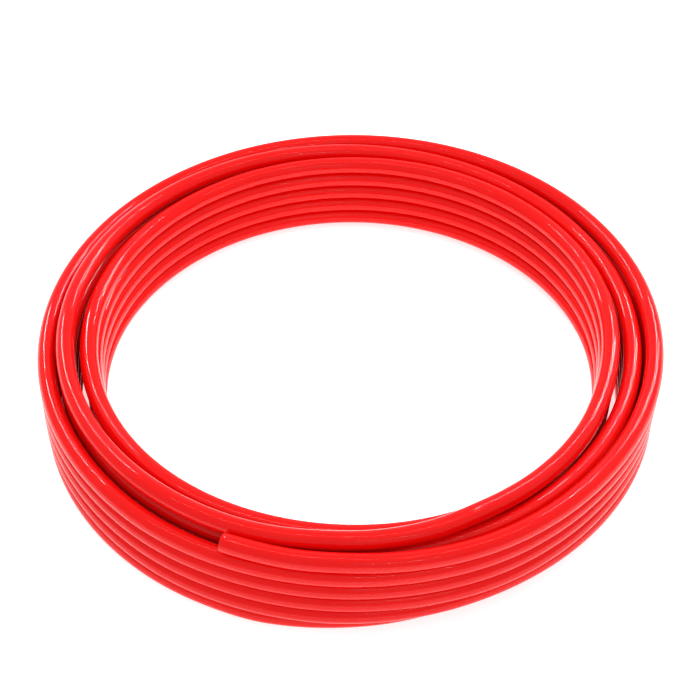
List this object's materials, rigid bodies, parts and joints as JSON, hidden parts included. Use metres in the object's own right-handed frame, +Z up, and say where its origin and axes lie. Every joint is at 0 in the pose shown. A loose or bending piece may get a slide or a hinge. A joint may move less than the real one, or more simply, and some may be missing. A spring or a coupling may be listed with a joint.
{
  "type": "coiled air hose",
  "caption": "Long thin-walled tube wound into a flat round coil of stacked rows in nested layers, with both ends left open for push-in or barbed fittings.",
  "frame": {"origin": "centre of the coil, on the floor that it lies on", "axes": "+Z up along the coil's axis; -Y is the front, and the outer end lies on top of the coil 21 degrees to the left of it, with the hose running off to the right"},
  "size_m": [0.3483, 0.3484, 0.0618],
  "materials": {
    "hose": "gloss"
  },
  "bodies": {
    "root": {"outer_end": "hose", "coil_outer_layer": "hose", "bottom_crossing": "hose", "coil_middle_layer": "hose", "top_crossing": "hose", "coil_inner_layer": "hose", "inner_end": "hose"}
  },
  "joints": []
}
